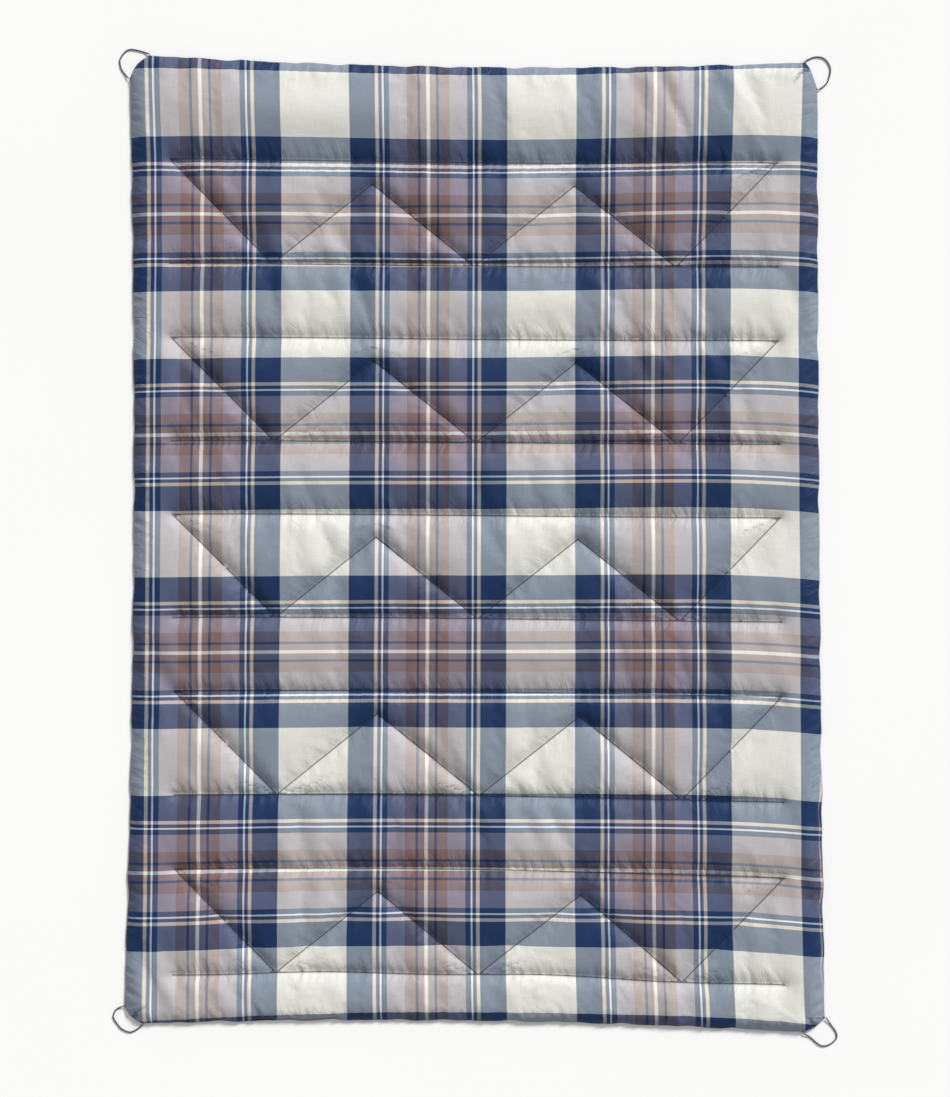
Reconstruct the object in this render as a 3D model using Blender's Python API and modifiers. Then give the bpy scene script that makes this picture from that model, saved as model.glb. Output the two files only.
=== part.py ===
"""Camp blanket: a quilted throw with synthetic fill and an elastic cord loop at each corner.

The blanket lies flat with its printed face up. +Z is up, +Y runs along the long side and +X
across it. The origin is on the floor under the middle of the blanket. Lengths are in metres.
"""

import math

import bmesh
import bpy
from mathutils import Vector
from mathutils.geometry import delaunay_2d_cdt, intersect_point_line

# Finished size, sewn edge to sewn edge.
WIDTH = 1.270
LENGTH = 1.780

# The sewn edge as the blanket lies. Quilting pulls the cloth in, so the corners stand out a
# little past the finished size and the sides bow in between them. Each rounded corner runs
# from its cut on the end side (top or bottom) to its cut on the long side, round a point
# between them.
CORNER_CUTS = {
    "top_left": {"end": (-0.5996, 0.9023), "round": (-0.6299, 0.8903), "side": (-0.6366, 0.8590)},
    "top_right": {"end": (0.6112, 0.8893), "round": (0.6210, 0.8889), "side": (0.6358, 0.8390)},
    "bottom_right": {"end": (0.6087, -0.9056), "round": (0.6362, -0.8969), "side": (0.6490, -0.8777)},
    "bottom_left": {"end": (-0.6124, -0.8893), "round": (-0.6362, -0.8828), "side": (-0.6468, -0.8569)},
}
SIDE_BOW = {"top": 0.015, "right": 0.003, "bottom": 0.0135, "left": 0.012}
SIDE_STEP = 0.110
CORNER_POINTS = 6

# Quilting: pairs of straight rows, with one zigzag line between the rows of each pair.
PAIRS = 5
FIRST_ROW_Y = 0.707
PAIR_PITCH = 0.3277
PAIR_HEIGHT = 0.1917
ROW_HALF_LENGTH = 0.5625
ZIGZAG_TIP_X = 0.3732
ZIGZAG_PEAK_DROP = 0.042
ZIGZAG_TIP_GAP = 0.0016

# Heights above the floor. The fill lifts the face to its crown between the stitched lines, and
# the back lies flat except where the stitching lifts it.
SEAM_BOTTOM = 0.0030
SEAM_TOP = 0.0060
CROWN_TOP = 0.0220
PUFF_REACH = 0.060
FOOT_REACH = 0.020

# Layers.
FABRIC_THICKNESS = 0.0004
LAYER_GAP = 0.0003
BATTING_INSET = 0.012

# Spacing of the plan's points along a stitched line, beside it, and over the open puffs.
LINE_STEP = 0.115
SIDE_OFFSET = 0.024
CROWN_STEP = 0.100

# Sewing thread (drawn at the width of a stitched line), the edge seam and the bar tacks.
THREAD_RADIUS = 0.0004
THREAD_CLEARANCE = 0.0004
THREAD_END_GAP = 0.006
EDGE_SEAM_INSET = 0.007
EDGE_SEAM_Z = 0.0045
TACK_LENGTH = 0.006
TACK_DEPTH = 0.0042
TACK_HEIGHT = 0.0015
TACK_BEVEL = 0.0004

# Elastic cord loops. Each route runs from one sewn end round the corner to the other, as it lies.
CORD_RADIUS = 0.00125
CORD_STEP = 0.006
CORD_END_GAP = 0.0016
CORD_EXIT_Z = 0.0045
CORD_FLOOR_Z = 0.0016
LOOP_ROUTES = {
    "top_left": [(-0.6090, 0.9082), (-0.6283, 0.9132), (-0.6405, 0.9130), (-0.6494, 0.9056),
                 (-0.6553, 0.8960), (-0.6558, 0.8874), (-0.6527, 0.8769), (-0.6462, 0.8673)],
    "top_right": [(0.6198, 0.8954), (0.6283, 0.8991), (0.6357, 0.9000), (0.6453, 0.8984),
                  (0.6527, 0.8928), (0.6580, 0.8843), (0.6599, 0.8758), (0.6580, 0.8641),
                  (0.6543, 0.8534), (0.6475, 0.8455)],
    "bottom_right": [(0.6220, -0.9150), (0.6325, -0.9241), (0.6399, -0.9298), (0.6484, -0.9315),
                     (0.6580, -0.9289), (0.6666, -0.9226), (0.6718, -0.9150), (0.6697, -0.9050),
                     (0.6612, -0.8928)],
    "bottom_left": [(-0.6190, -0.8969), (-0.6275, -0.9026), (-0.6383, -0.9058), (-0.6531, -0.8995),
                    (-0.6593, -0.8921), (-0.6658, -0.8836), (-0.6682, -0.8767), (-0.6647, -0.8665),
                    (-0.6584, -0.8612)],
}

MERGE = 0.0001


# ---------------------------------------------------------------- scene and materials

def clear_scene():
    for thing in list(bpy.data.objects):
        bpy.data.objects.remove(thing, do_unlink=True)


def make_material(name, color, roughness):
    material = bpy.data.materials.new(name)
    material.use_nodes = True
    shader = material.node_tree.nodes["Principled BSDF"]
    shader.inputs["Base Color"].default_value = (*color, 1.0)
    shader.inputs["Roughness"].default_value = roughness
    shader.inputs["Metallic"].default_value = 0.0
    material.diffuse_color = (*color, 1.0)
    return material


def add_object(name, data, collection, material):
    thing = bpy.data.objects.new(name, data)
    data.materials.append(material)
    collection.objects.link(thing)
    return thing


# ---------------------------------------------------------------- plan of the blanket

def cut_point(corner, cut):
    return Vector(CORNER_CUTS[corner][cut])


def outline():
    """The sewn edge, clockwise from the top side's left end, as a list of points."""
    walk = (
        ("top", "end", "top_left", "top_right"),
        ("right", "side", "top_right", "bottom_right"),
        ("bottom", "end", "bottom_right", "bottom_left"),
        ("left", "side", "bottom_left", "top_left"),
    )
    points = []
    for side, cut, start, end in walk:
        first = cut_point(start, cut)
        last = cut_point(end, cut)
        along = (last - first).normalized()
        inward = Vector((along.y, -along.x))
        count = round((last - first).length / SIDE_STEP)
        for step in range(count):
            t = step / count
            points.append(first.lerp(last, t) + inward * SIDE_BOW[side] * 4 * t * (1 - t))
        round_point = cut_point(end, "round")
        far = cut_point(end, "side" if cut == "end" else "end")
        for step in range(CORNER_POINTS):
            t = step / CORNER_POINTS
            points.append(last.lerp(round_point, t).lerp(round_point.lerp(far, t), t))
    return points


def row_lines():
    """The ten straight quilting rows, from the top, each as (start, end)."""
    rows = []
    for pair in range(PAIRS):
        top = FIRST_ROW_Y - PAIR_PITCH * pair
        for y in (top, top - PAIR_HEIGHT):
            rows.append([Vector((-ROW_HALF_LENGTH, y)), Vector((ROW_HALF_LENGTH, y))])
    return rows


def zigzag_lines():
    """The five zigzag lines. Each runs from one end of the upper row to its other end."""
    lines = []
    for pair in range(PAIRS):
        top = FIRST_ROW_Y - PAIR_PITCH * pair
        low = top - PAIR_HEIGHT + ZIGZAG_TIP_GAP
        peak = top - ZIGZAG_PEAK_DROP
        half = [
            (-ROW_HALF_LENGTH, top),
            (-ZIGZAG_TIP_X, low),
            (-ZIGZAG_TIP_X / 2, peak),
        ]
        mirrored = [(-x, y) for x, y in reversed(half)]
        lines.append([Vector(point) for point in half + [(0.0, low)] + mirrored])
    return lines


def divided(line, step):
    """The line's points, with more between them so that no stretch is longer than the step."""
    points = []
    for start, end in zip(line, line[1:]):
        count = max(1, math.ceil((end - start).length / step))
        points += [start.lerp(end, index / count) for index in range(count)]
    return points + [line[-1]]


def distance_to(point, lines):
    """The shortest distance from a point to any of the lines."""
    nearest = math.inf
    for line in lines:
        for start, end in zip(line, line[1:]):
            _, t = intersect_point_line(point, start, end)
            foot = start.lerp(end, min(1.0, max(0.0, t)))
            nearest = min(nearest, (point - foot).length)
    return nearest


def inset_loop(points, distance):
    """The closed line that runs a distance inside a clockwise loop, cutting its tight corners."""
    edge = [points + points[:1]]
    result = []
    for index, point in enumerate(points):
        before = points[index - 1]
        after = points[(index + 1) % len(points)]
        along = (after - before).normalized()
        moved = point + Vector((along.y, -along.x)) * distance
        if distance_to(moved, edge) > distance * 0.95:
            result.append(moved)
    return result


def inside(point, loop):
    """Whether a point is inside a closed loop."""
    crossings = 0
    for a, b in zip(loop, loop[1:] + loop[:1]):
        if (a.y > point.y) != (b.y > point.y):
            x = a.x + (point.y - a.y) / (b.y - a.y) * (b.x - a.x)
            crossings += x > point.x
    return crossings % 2 == 1


class Plan:
    """The blanket seen from above, cut into triangles along every stitched line."""

    def __init__(self):
        self.edge = outline()
        self.inner = inset_loop(self.edge, BATTING_INSET)
        self.rows = row_lines()
        self.zigzags = zigzag_lines()
        closed_edge = self.edge + self.edge[:1]
        self.pinched = self.rows + self.zigzags + [closed_edge]
        points = list(self.edge) + list(self.inner)
        edges = self.loop_edges(0, len(self.edge)) + self.loop_edges(len(self.edge), len(self.inner))
        for line in self.rows + self.zigzags:
            run = divided(line, LINE_STEP)
            edges += [(len(points) + i, len(points) + i + 1) for i in range(len(run) - 1)]
            points += run
        points += self.puff_points()
        rim = [list(range(len(self.edge)))]
        vertices, _, faces, _, _, _ = delaunay_2d_cdt(points, edges, rim, 1, MERGE)
        self.vertices = vertices
        self.faces = [tuple(face) for face in faces]
        self.distances = [distance_to(point, self.pinched) for point in vertices]

    @staticmethod
    def loop_edges(first, count):
        return [(first + i, first + (i + 1) % count) for i in range(count)]

    def puff_points(self):
        """Points beside the stitched lines, then a loose grid over the open puffs."""
        chosen = []
        wanted = []
        for line in self.rows + self.zigzags:
            for start, end in zip(line, line[1:]):
                along = (end - start).normalized()
                side = Vector((-along.y, along.x)) * SIDE_OFFSET
                run = divided([start, end], LINE_STEP)
                for a, b in zip(run, run[1:]):
                    wanted += [a.lerp(b, 0.5) + side, a.lerp(b, 0.5) - side]
        spacing = CROWN_STEP * math.sqrt(3) / 2
        rows = math.ceil(LENGTH / 2 / spacing)
        columns = math.ceil(WIDTH / 2 / CROWN_STEP)
        for row in range(-rows, rows + 1):
            for column in range(-columns, columns + 1):
                shift = (row % 2) * CROWN_STEP / 2
                wanted.append(Vector((column * CROWN_STEP + shift, row * spacing)))
        for point in wanted:
            near_line = distance_to(point, self.pinched) < SIDE_OFFSET * 0.85
            near_other = any((point - other).length < SIDE_OFFSET * 1.6 for other in chosen)
            if inside(point, self.inner) and not near_line and not near_other:
                chosen.append(point)
        return chosen

    def middle_faces(self):
        """The triangles inside the batting's edge."""
        kept = []
        for face in self.faces:
            middle = sum((self.vertices[i] for i in face), Vector((0, 0))) / 3
            if inside(middle, self.inner):
                kept.append(face)
        return kept


# ---------------------------------------------------------------- heights of the layers

def face_top(distance):
    t = min(1.0, distance / PUFF_REACH)
    return SEAM_TOP + (CROWN_TOP - SEAM_TOP) * math.sin(t * math.pi / 2)


def back_bottom(distance):
    return SEAM_BOTTOM * max(0.0, 1.0 - distance / FOOT_REACH)


def make_layer(name, plan, faces, lower, upper, collection, material):
    """A sheet that follows the plan, between two heights given by distance from the stitching."""
    used = sorted({index for face in faces for index in face})
    mesh = bpy.data.meshes.new(name)
    sheet = bmesh.new()
    made = {i: sheet.verts.new((*plan.vertices[i], lower(plan.distances[i]))) for i in used}
    top_of = {made[i]: upper(plan.distances[i]) for i in used}
    bottom = [sheet.faces.new([made[i] for i in face]) for face in faces]
    raised = bmesh.ops.extrude_face_region(sheet, geom=bottom, use_keep_orig=True)
    tops = {(vertex.co.x, vertex.co.y): height for vertex, height in top_of.items()}
    for vertex in raised["geom"]:
        if isinstance(vertex, bmesh.types.BMVert):
            vertex.co.z = tops[(vertex.co.x, vertex.co.y)]
    bmesh.ops.recalc_face_normals(sheet, faces=sheet.faces)
    sheet.to_mesh(mesh)
    sheet.free()
    return add_object(name, mesh, collection, material)


# ---------------------------------------------------------------- threads, tacks and cords

def make_tube(name, points, radius, collection, material, closed=False, origin=None):
    """A round tube along the points, with flat ends, its origin at a given place."""
    origin = Vector(origin) if origin else Vector((0, 0, 0))
    curve = bpy.data.curves.new(name, "CURVE")
    curve.dimensions = "3D"
    curve.bevel_depth = radius
    curve.bevel_resolution = 2
    curve.use_fill_caps = True
    spline = curve.splines.new("POLY")
    spline.points.add(len(points) - 1)
    for slot, point in zip(spline.points, points):
        slot.co = (*(Vector(point) - origin), 1.0)
    spline.use_cyclic_u = closed
    spline.use_smooth = True
    tube = add_object(name, curve, collection, material)
    tube.location = origin
    return tube


def shortened(line, gap):
    """The line with a gap taken off both its ends."""
    first = (line[1] - line[0]).normalized() * gap
    last = (line[-2] - line[-1]).normalized() * gap
    return [line[0] + first] + list(line[1:-1]) + [line[-1] + last]


def make_threads(name, line, collection, material):
    """A lockstitch line: the needle thread on the face and the bobbin thread on the back."""
    run = shortened(line, THREAD_END_GAP)
    lift = THREAD_RADIUS + THREAD_CLEARANCE
    over = [(*point, SEAM_TOP + lift) for point in run]
    under = [(*point, SEAM_BOTTOM - lift) for point in run]
    make_tube(name + "_needle_thread", over, THREAD_RADIUS, collection, material)
    make_tube(name + "_bobbin_thread", under, THREAD_RADIUS, collection, material)


def loop_spots(corner):
    """The two places where a loop enters the edge: point, direction of the edge, outward normal."""
    end_point = cut_point(corner, "end")
    side_point = cut_point(corner, "side")
    end_spot = (end_point, Vector((1, 0)), Vector((0, math.copysign(1, end_point.y))))
    side_spot = (side_point, Vector((0, 1)), Vector((math.copysign(1, side_point.x), 0)))
    return end_spot, side_spot


def smooth_route(points, step):
    """Evenly spaced points on a smooth curve through the given ones."""
    fine = []
    padded = [points[0] * 2 - points[1]] + points + [points[-1] * 2 - points[-2]]
    for a, b, c, d in zip(padded, padded[1:], padded[2:], padded[3:]):
        for index in range(12):
            t = index / 12
            fine.append(
                (b * 2 + (c - a) * t + (a * 2 - b * 5 + c * 4 - d) * t**2 + (b * 3 - a - c * 3 + d) * t**3) / 2
            )
    fine.append(points[-1])
    lengths = [0.0]
    for a, b in zip(fine, fine[1:]):
        lengths.append(lengths[-1] + (b - a).length)
    count = round(lengths[-1] / step)
    result = []
    for index in range(count + 1):
        target = lengths[-1] * index / count
        place = next(i for i in range(1, len(fine)) if lengths[i] >= target - 1e-9)
        span = lengths[place] - lengths[place - 1]
        result.append(fine[place - 1].lerp(fine[place], (target - lengths[place - 1]) / span))
    return result


def loop_route(corner):
    """The cord's centre line, from its exit on the end side to its exit on the long side."""
    exits = []
    for point, _, outward in loop_spots(corner):
        exits.append(Vector((*(point + outward * CORD_END_GAP), CORD_EXIT_Z)))
    middle = [Vector((x, y, CORD_FLOOR_Z)) for x, y in LOOP_ROUTES[corner]]
    return smooth_route([exits[0]] + middle + [exits[1]], CORD_STEP)


def loop_hinge(route):
    """The line through the two ends of a loop's route, as its middle and its direction."""
    along = (route[-1] - route[0]).normalized()
    middle = (route[0] + route[-1]) / 2
    outward = middle.xy.to_3d() - along * middle.xy.to_3d().dot(along)
    return middle, outward.normalized().cross(Vector((0, 0, 1)))


def make_tack(name, spot, collection, material):
    """A bar tack: a dense block of stitches that holds a cord end inside the edge seam."""
    point, along, outward = spot
    bpy.ops.mesh.primitive_cube_add(size=1.0)
    tack = bpy.context.active_object
    tack.name = name
    tack.data.name = name
    for vertex in tack.data.vertices:
        vertex.co.x *= TACK_LENGTH
        vertex.co.y *= TACK_DEPTH
        vertex.co.z *= TACK_HEIGHT
    tack.rotation_euler.z = math.atan2(along.y, along.x)
    tack.location = (point - outward * (TACK_DEPTH / 2 + LAYER_GAP)).to_3d()
    tack.location.z = EDGE_SEAM_Z
    bevel = tack.modifiers.new("soft_edges", "BEVEL")
    bevel.width = TACK_BEVEL
    bevel.segments = 2
    for owner in list(tack.users_collection):
        owner.objects.unlink(tack)
    collection.objects.link(tack)
    tack.data.materials.append(material)
    return tack


# ---------------------------------------------------------------- the blanket

def build():
    clear_scene()
    blanket = bpy.data.collections.new("camp_blanket")
    bpy.context.scene.collection.children.link(blanket)

    face_cloth = make_material("printed_taffeta_face", (0.36, 0.37, 0.42), 0.55)
    back_cloth = make_material("printed_taffeta_back", (0.30, 0.33, 0.40), 0.55)
    fill = make_material("polyester_batting", (0.86, 0.86, 0.84), 0.95)
    row_thread = make_material("row_thread", (0.03, 0.04, 0.08), 0.60)
    seam_thread = make_material("seam_thread", (0.04, 0.05, 0.10), 0.60)
    elastic = make_material("braided_elastic_cord", (0.035, 0.045, 0.07), 0.70)

    plan = Plan()
    make_layer(
        "back_fabric", plan, plan.faces, back_bottom,
        lambda d: back_bottom(d) + FABRIC_THICKNESS, blanket, back_cloth,
    )
    make_layer(
        "insulation_batting", plan, plan.middle_faces(),
        lambda d: back_bottom(d) + FABRIC_THICKNESS + LAYER_GAP,
        lambda d: face_top(d) - FABRIC_THICKNESS - LAYER_GAP, blanket, fill,
    )
    make_layer(
        "face_fabric", plan, plan.faces,
        lambda d: face_top(d) - FABRIC_THICKNESS, face_top, blanket, face_cloth,
    )

    for number, line in enumerate(plan.rows, start=1):
        make_threads(f"row_{number:02d}", line, blanket, row_thread)
    for number, line in enumerate(plan.zigzags, start=1):
        make_threads(f"zigzag_{number}", line, blanket, row_thread)

    seam_line = [(*point, EDGE_SEAM_Z) for point in inset_loop(plan.edge, EDGE_SEAM_INSET)]
    make_tube("edge_seam_thread", seam_line, THREAD_RADIUS, blanket, seam_thread, closed=True)

    for corner in CORNER_CUTS:
        end_spot, side_spot = loop_spots(corner)
        make_tack(f"loop_tack_{corner}_end", end_spot, blanket, seam_thread)
        make_tack(f"loop_tack_{corner}_side", side_spot, blanket, seam_thread)
        route = loop_route(corner)
        middle, _ = loop_hinge(route)
        make_tube(f"corner_loop_{corner}", route, CORD_RADIUS, blanket, elastic, origin=middle)


build()
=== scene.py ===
import math

import bpy
import numpy as np
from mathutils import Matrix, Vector


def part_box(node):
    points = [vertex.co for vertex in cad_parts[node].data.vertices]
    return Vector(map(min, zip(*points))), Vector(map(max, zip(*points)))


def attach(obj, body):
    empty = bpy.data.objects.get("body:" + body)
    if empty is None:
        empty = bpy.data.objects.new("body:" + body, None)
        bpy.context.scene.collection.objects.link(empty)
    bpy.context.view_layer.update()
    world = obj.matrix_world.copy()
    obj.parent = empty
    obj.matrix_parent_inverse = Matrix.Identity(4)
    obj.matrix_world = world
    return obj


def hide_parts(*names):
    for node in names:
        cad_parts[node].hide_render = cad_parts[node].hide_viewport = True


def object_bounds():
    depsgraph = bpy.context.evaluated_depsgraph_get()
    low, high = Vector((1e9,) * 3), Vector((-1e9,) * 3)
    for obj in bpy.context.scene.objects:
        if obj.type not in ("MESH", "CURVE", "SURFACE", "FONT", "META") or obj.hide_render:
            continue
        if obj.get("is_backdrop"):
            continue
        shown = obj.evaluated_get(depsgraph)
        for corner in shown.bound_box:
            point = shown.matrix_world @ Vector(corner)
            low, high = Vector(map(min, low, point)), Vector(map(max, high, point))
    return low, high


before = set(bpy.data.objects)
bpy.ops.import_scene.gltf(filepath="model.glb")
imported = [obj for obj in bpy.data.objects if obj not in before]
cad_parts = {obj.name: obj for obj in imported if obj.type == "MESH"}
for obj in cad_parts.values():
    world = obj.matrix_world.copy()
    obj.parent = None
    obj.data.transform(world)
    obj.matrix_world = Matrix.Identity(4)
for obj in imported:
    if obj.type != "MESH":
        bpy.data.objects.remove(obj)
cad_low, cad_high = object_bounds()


# ---- Face panel. Printed polyester taffeta, 0.1 mm thick, cut a little larger than the finished
# blanket. It is sewn to the back panel round the edge, turned right side out and quilted through
# the fill, so it puffs up between the stitched lines and gathers into fine puckers along them.

# The sewn edge. Each rounded corner runs from its cut on the end side to its cut on the long side.
CORNERS = {
    "top_left": {"end": (-0.5996, 0.9023), "round": (-0.6299, 0.8903), "side": (-0.6366, 0.8590)},
    "top_right": {"end": (0.6112, 0.8893), "round": (0.6210, 0.8889), "side": (0.6358, 0.8390)},
    "bottom_right": {"end": (0.6087, -0.9056), "round": (0.6362, -0.8969), "side": (0.6490, -0.8777)},
    "bottom_left": {"end": (-0.6124, -0.8893), "round": (-0.6362, -0.8828), "side": (-0.6468, -0.8569)},
}
CORNER_TRIM = 0.06
CORNER_POINTS = 9
SIDE_POINTS = 160
BOW = {"top": 0.015, "right": 0.003, "bottom": 0.0135, "left": 0.012}
EDGE_WAVE = 0.0009
EDGE_WAVES = ((1.0, 71, 0.0), (0.7, 113, 1.3), (0.5, 187, 4.0))
EDGE_WAVE_EASE = 0.05


def corner_curve(corner, start, stop):
    """Points on a rounded corner between two shares of its length, from its end cut."""
    a, b, c = (np.array(CORNERS[corner][key]) for key in ("end", "round", "side"))
    t = np.linspace(start, stop, CORNER_POINTS)[:, None]
    return (1 - t) ** 2 * a + 2 * t * (1 - t) * b + t**2 * c


def side_curve(side, cut, first, last, inward):
    """Points along a sewn side, bowed in by the quilting, with the small waves of its gathers."""
    a = np.array(CORNERS[first][cut])
    b = np.array(CORNERS[last][cut])
    t = np.linspace(0, 1, SIDE_POINTS)[:, None]
    wave = sum(share * np.sin(t * swings + phase) for share, swings, phase in EDGE_WAVES)
    ease = np.clip(np.minimum(t, 1 - t) / EDGE_WAVE_EASE, 0, 1)
    return a + (b - a) * t + np.array(inward) * (BOW[side] * 4 * t * (1 - t) + EDGE_WAVE * wave * ease)


top_edge = np.vstack([
    corner_curve("top_left", 0.5, CORNER_TRIM),
    side_curve("top", "end", "top_left", "top_right", (0, -1)),
    corner_curve("top_right", CORNER_TRIM, 0.5),
])
bottom_edge = np.vstack([
    corner_curve("bottom_left", 0.5, CORNER_TRIM),
    side_curve("bottom", "end", "bottom_left", "bottom_right", (0, 1)),
    corner_curve("bottom_right", CORNER_TRIM, 0.5),
])
left_edge = np.vstack([
    corner_curve("bottom_left", 0.5, 1 - CORNER_TRIM),
    side_curve("left", "side", "bottom_left", "top_left", (1, 0)),
    corner_curve("top_left", 1 - CORNER_TRIM, 0.5),
])
right_edge = np.vstack([
    corner_curve("bottom_right", 0.5, 1 - CORNER_TRIM),
    side_curve("right", "side", "bottom_right", "top_right", (-1, 0)),
    corner_curve("top_right", 1 - CORNER_TRIM, 0.5),
])

# The quilting: ten straight rows in five pairs, and a zigzag line from row to row in each pair.
ROWS = 10
PAIRS = 5
ROW_HALF = 0.5625
ZIGZAG_X = (-0.5625, -0.3732, -0.1866, 0.0, 0.1866, 0.3732, 0.5625)
PEAK_DROP = 0.042
row_y = []
for number in range(1, ROWS + 1):
    low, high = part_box(f"row_{number:02d}_needle_thread")
    row_y.append((low[1] + high[1]) / 2)


def zigzag_line(pair):
    """The six straight legs of one zigzag line, as points from left to right."""
    top, low = row_y[2 * pair], row_y[2 * pair + 1]
    drop = (top, low, top - PEAK_DROP, low, top - PEAK_DROP, low, top)
    return np.array(list(zip(ZIGZAG_X, drop)))


# The cloth is laid out on a net of about 5 mm, whose lines follow the quilting, in cells across
# each zigzag leg and side margin, and down each pair, gap and end.
LEG_CELLS = 36
MARGIN_CELLS = 14
PAIR_CELLS = 37
GAP_CELLS = 26
TOP_CELLS = 39
BOTTOM_CELLS = 21
LEAST_CELL = 0.05


def runs(knots, cells):
    """Evenly spread positions from knot to knot."""
    parts = [np.linspace(a, b, n, endpoint=False) for a, b, n in zip(knots, knots[1:], cells)]
    return np.concatenate(parts + [[knots[-1]]])


def net():
    """Plan positions of the net, as arrays of rows from the top and columns from the left."""
    inner_x = runs(ZIGZAG_X, [LEG_CELLS] * 6)
    inner_y = runs(row_y, ([PAIR_CELLS, GAP_CELLS] * PAIRS)[:ROWS - 1])
    share = np.arange(MARGIN_CELLS) / MARGIN_CELLS
    top_x = np.concatenate([
        top_edge[0, 0] + (-ROW_HALF - top_edge[0, 0]) * share, inner_x,
        (top_edge[-1, 0] + (ROW_HALF - top_edge[-1, 0]) * share)[::-1],
    ])
    low_x = np.concatenate([
        bottom_edge[0, 0] + (-ROW_HALF - bottom_edge[0, 0]) * share, inner_x,
        (bottom_edge[-1, 0] + (ROW_HALF - bottom_edge[-1, 0]) * share)[::-1],
    ])
    up = np.linspace(1, 0, TOP_CELLS, endpoint=False)[:, None]
    down = np.linspace(0, 1, BOTTOM_CELLS + 1)[1:, None]
    rise = np.interp(top_x, *top_edge.T)
    fall = np.interp(low_x, *bottom_edge.T)
    y = np.vstack([
        row_y[0] + (rise - row_y[0]) * up,
        np.repeat(inner_y[:, None], len(top_x), axis=1),
        row_y[-1] + (fall - row_y[-1]) * down,
    ])
    x = np.empty_like(y)
    x[:, MARGIN_CELLS:-MARGIN_CELLS] = inner_x
    left = np.interp(y[:, 0], *left_edge[:, ::-1].T)[:, None]
    right = np.interp(y[:, -1], *right_edge[:, ::-1].T)[:, None]
    x[:, :MARGIN_CELLS] = left + (-ROW_HALF - left) * share
    x[:, -MARGIN_CELLS:] = right + (ROW_HALF - right) * share[::-1]
    stitched = np.zeros(y.shape, bool)
    first = TOP_CELLS
    for pair in range(PAIRS):
        line = zigzag_line(pair)
        stitched[first, MARGIN_CELLS:-MARGIN_CELLS] = True
        stitched[first + PAIR_CELLS, MARGIN_CELLS:-MARGIN_CELLS] = True
        for column in range(MARGIN_CELLS + 1, len(top_x) - MARGIN_CELLS - 1):
            target = np.interp(x[first, column], *line.T)
            top, low = row_y[2 * pair], row_y[2 * pair + 1]
            place = (top - target) / (top - low) * PAIR_CELLS
            if place > PAIR_CELLS - LEAST_CELL:
                continue
            place = min(PAIR_CELLS - 1, max(1, round(place)))
            y[first:first + place + 1, column] = np.linspace(top, target, place + 1)
            rest = PAIR_CELLS - place
            y[first + place:first + PAIR_CELLS + 1, column] = np.linspace(target, low, rest + 1)
            stitched[first + place, column] = True
        first += PAIR_CELLS + GAP_CELLS
    return x, y, stitched


def nearest_line(x, y, lines):
    """Distance to the nearest leg of the lines, the place along it, and how much farther the next is."""
    away = np.full(x.shape, 1e9)
    second = np.full(x.shape, 1e9)
    along = np.zeros(x.shape)
    before = 0.0
    for line in lines:
        for (ax, ay), (bx, by) in zip(line, line[1:]):
            dx, dy = bx - ax, by - ay
            t = np.clip(((x - ax) * dx + (y - ay) * dy) / (dx * dx + dy * dy), 0, 1)
            gap = np.hypot(x - ax - t * dx, y - ay - t * dy)
            along = np.where(gap < away, before + t * math.hypot(dx, dy), along)
            second = np.minimum(second, np.maximum(away, gap))
            away = np.minimum(away, gap)
            before += math.hypot(dx, dy)
    return away, along, second - away


plan_x, plan_y, stitched = net()
net_shape = plan_x.shape
quilt_lines = [np.array([(-ROW_HALF, y), (ROW_HALF, y)]) for y in row_y]
quilt_lines += [zigzag_line(pair) for pair in range(PAIRS)]
EDGE_STRIDE = 3
EDGE_FROM = 40
edge_lines = [line[::EDGE_STRIDE] for line in (top_edge, bottom_edge, left_edge, right_edge)]
to_stitch, along_stitch, lead = nearest_line(plan_x, plan_y, quilt_lines)
to_edge, along_edge, _ = nearest_line(plan_x, plan_y, edge_lines)
near = np.minimum(to_stitch, to_edge)
along = np.where(to_stitch < to_edge, along_stitch, along_edge + EDGE_FROM)

# How strongly the stitching gathers the cloth: most beside a row, less beside a zigzag, and
# dying out where two lines' gathers would meet.
GATHER_REACH = 0.045
GATHER_POWER = 1.2
MEETING = 0.012
GATHER_SLANT = 0.35
ZIGZAG_SHARE = 0.40
rows_length = 2 * ROW_HALF * ROWS
meeting = np.where(to_stitch < to_edge, np.minimum(lead, to_edge - to_stitch), to_stitch - to_edge)
gather = np.clip(1 - near / GATHER_REACH, 0, 1) ** GATHER_POWER * np.clip(meeting / MEETING, 0, 1)
gather *= np.where((to_stitch < to_edge) & (along_stitch > rows_length), ZIGZAG_SHARE, 1.0)
along += GATHER_SLANT * near

# How the quilting lies. Laid out by hand, its lines run a few millimetres off straight, up to
# 20 mm towards the foot end's right corner, and the last row lies in shallow waves.
LAY_ORDER = 5
LAY_SPAN = (0.6, 0.9)
LAY_X = (5.4, -9.0, -1.5, 2.2, -1.6, 3.1, 0.9, -1.3, 1.3, -0.7, 0.6,
         1.1, -1.9, 1.6, 0.7, -1.0, 0.0, 0.6, -2.1, 1.4, -0.4)
LAY_Y = (-0.5, -5.3, -3.1, 7.4, 0.0, -2.5, -6.3, 3.3, -4.9, 1.6, 1.9,
         -1.0, 11.0, -2.7, 5.7, 3.2, -0.3, -1.9, -0.3, -5.9, -0.6)
LAY_EASE = 0.085
WAVE_LENGTH = 0.43
WAVE_HEIGHT = (-0.0008, 0.0019)
WAVE_REACH = 0.05


def drift(x, y, terms):
    """A gentle drift in metres, a polynomial with its terms in millimetres."""
    wide, long = LAY_SPAN
    powers = [(i, j) for i in range(LAY_ORDER + 1) for j in range(LAY_ORDER + 1) if i + j <= LAY_ORDER]
    return sum(term * (x / wide) ** i * (y / long) ** j for term, (i, j) in zip(terms, powers)) / 1000


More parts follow.
